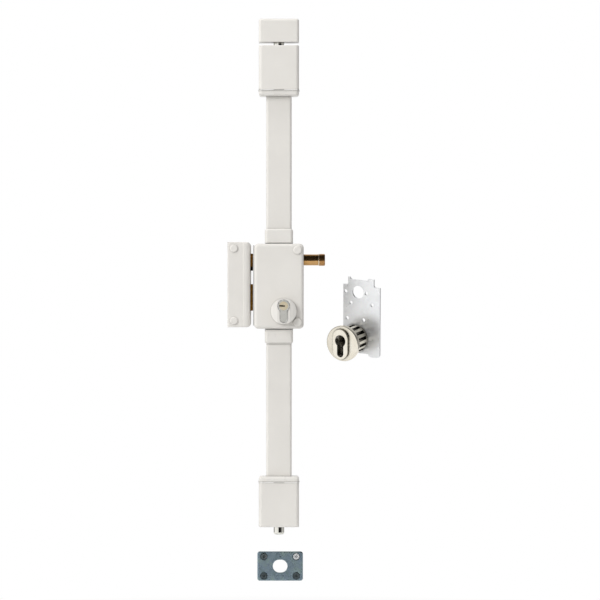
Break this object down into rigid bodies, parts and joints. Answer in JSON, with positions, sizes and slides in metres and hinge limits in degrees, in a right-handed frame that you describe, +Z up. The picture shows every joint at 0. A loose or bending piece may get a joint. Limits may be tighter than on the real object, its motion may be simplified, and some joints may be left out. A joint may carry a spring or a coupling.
{
  "type": "multipoint door lock",
  "caption": "Surface-mounted multipoint door lock: white case with key cylinder, sprung latch, dead bolt and rods to bolts above and below, with its keepers, floor strike and exterior unit.",
  "frame": {"origin": "centre of the lock case's four fixing holes, on the face of the door", "axes": "+X right, seen from inside the room; +Z up along the rods; the case's front faces -Y and the door is on the +Y side"},
  "size_m": [0.2289, 0.0945, 0.8407],
  "materials": {
    "white_paint": "semi-gloss enamel",
    "white_plastic": "semi-gloss",
    "polished_brass": "polished",
    "dark_brass": "drawn",
    "satin_nickel": "satin nickel",
    "zinc_plate": "zinc plated",
    "guide_plastic": "matte",
    "pin_brass": "turned",
    "inner_steel": "passivated"
  },
  "bodies": {
    "fixed_parts": {"case_back_plate": "inner_steel", "case_cover": "white_paint", "case_posts": "inner_steel", "cover_screw_caps": "white_plastic", "cover_screws": "inner_steel", "cylinder_body": "satin_nickel", "cylinder_fixing_screw": "inner_steel", "drive_gear_clip": "inner_steel", "drive_gear_shaft": "inner_steel", "driver_pins": "pin_brass", "floor_strike_plate": "zinc_plate", "floor_strike_screws": "zinc_plate", "forend_plate": "white_paint", "forend_screws": "inner_steel", "inner_escutcheon": "white_plastic", "latch_bracket": "inner_steel", "latch_spring": "inner_steel", "lower_bar_cover": "white_paint", "lower_collar": "white_plastic", "lower_guide_base": "inner_steel", "lower_guide_block": "guide_plastic", "lower_guide_cap": "white_plastic", "lower_guide_cover": "white_paint", "lower_guide_screws": "inner_steel", "outer_insert": "satin_nickel", "outer_plate": "zinc_plate", "outer_rosette": "satin_nickel", "outer_tube": "satin_nickel", "outer_tube_screws": "inner_steel", "side_keeper_base": "inner_steel", "side_keeper_caps": "white_plastic", "side_keeper_cover": "white_paint", "side_keeper_screws": "inner_steel", "top_keeper_base": "inner_steel", "top_keeper_cover": "white_paint", "upper_bar_cover": "white_paint", "upper_collar": "white_plastic", "upper_guide_base": "inner_steel", "upper_guide_block": "guide_plastic", "upper_guide_cap": "white_plastic", "upper_guide_cover": "white_paint", "upper_guide_screws": "inner_steel"},
    "cylinder_core": {"cylinder_plug_inner": "satin_nickel", "cylinder_plug_outer": "satin_nickel", "cylinder_cam_gear": "inner_steel", "cylinder_clutch": "inner_steel", "key_pins": "pin_brass"},
    "gear_group": {"drive_gear": "inner_steel"},
    "dead_bolt_group": {"dead_bolt": "dark_brass"},
    "latch_group": {"latch_bolt": "polished_brass", "latch_rod": "inner_steel", "pull_barrel": "polished_brass", "pull_ring": "polished_brass", "pull_cap": "polished_brass"},
    "upper_rod_group": {"upper_rod": "inner_steel", "upper_bolt": "satin_nickel", "upper_bolt_pin": "inner_steel"},
    "lower_rod_group": {"lower_rod": "inner_steel", "lower_bolt": "satin_nickel", "lower_bolt_pin": "inner_steel"}
  },
  "joints": [
    {"name": "key_turn", "type": "hinge", "parent": "fixed_parts", "child": "cylinder_core", "pos_m": [0.0072, 0, -0.0294], "axis": [0, -1, 0], "range_deg": [0, 360]},
    {"name": "drive_gear_turn", "type": "hinge", "parent": "fixed_parts", "child": "gear_group", "pos_m": [0, 0, 0.00057], "axis": [0, 1, 0], "range_deg": [0, 180]},
    {"name": "dead_bolt_slide", "type": "slide", "parent": "fixed_parts", "child": "dead_bolt_group", "axis": [1, 0, 0], "range_m": [0, 0.02042]},
    {"name": "upper_rod_slide", "type": "slide", "parent": "fixed_parts", "child": "upper_rod_group", "axis": [0, 0, -1], "range_m": [0, 0.01415]},
    {"name": "lower_rod_slide", "type": "slide", "parent": "fixed_parts", "child": "lower_rod_group", "axis": [0, 0, 1], "range_m": [0, 0.01415]},
    {"name": "latch_slide", "type": "slide", "parent": "fixed_parts", "child": "latch_group", "axis": [1, 0, 0], "range_m": [0, 0.014], "stiffness_N_per_m": 300, "springref_m": -0.01, "deforming": ["latch_spring"]}
  ],
  "couplings": [
    {"joint": "key_turn", "follows": "dead_bolt_slide", "rad_per_m": 307.69},
    {"joint": "drive_gear_turn", "follows": "dead_bolt_slide", "rad_per_m": 153.85},
    {"joint": "upper_rod_slide", "follows": "dead_bolt_slide", "ratio": 0.69231},
    {"joint": "lower_rod_slide", "follows": "dead_bolt_slide", "ratio": 0.69231}
  ]
}
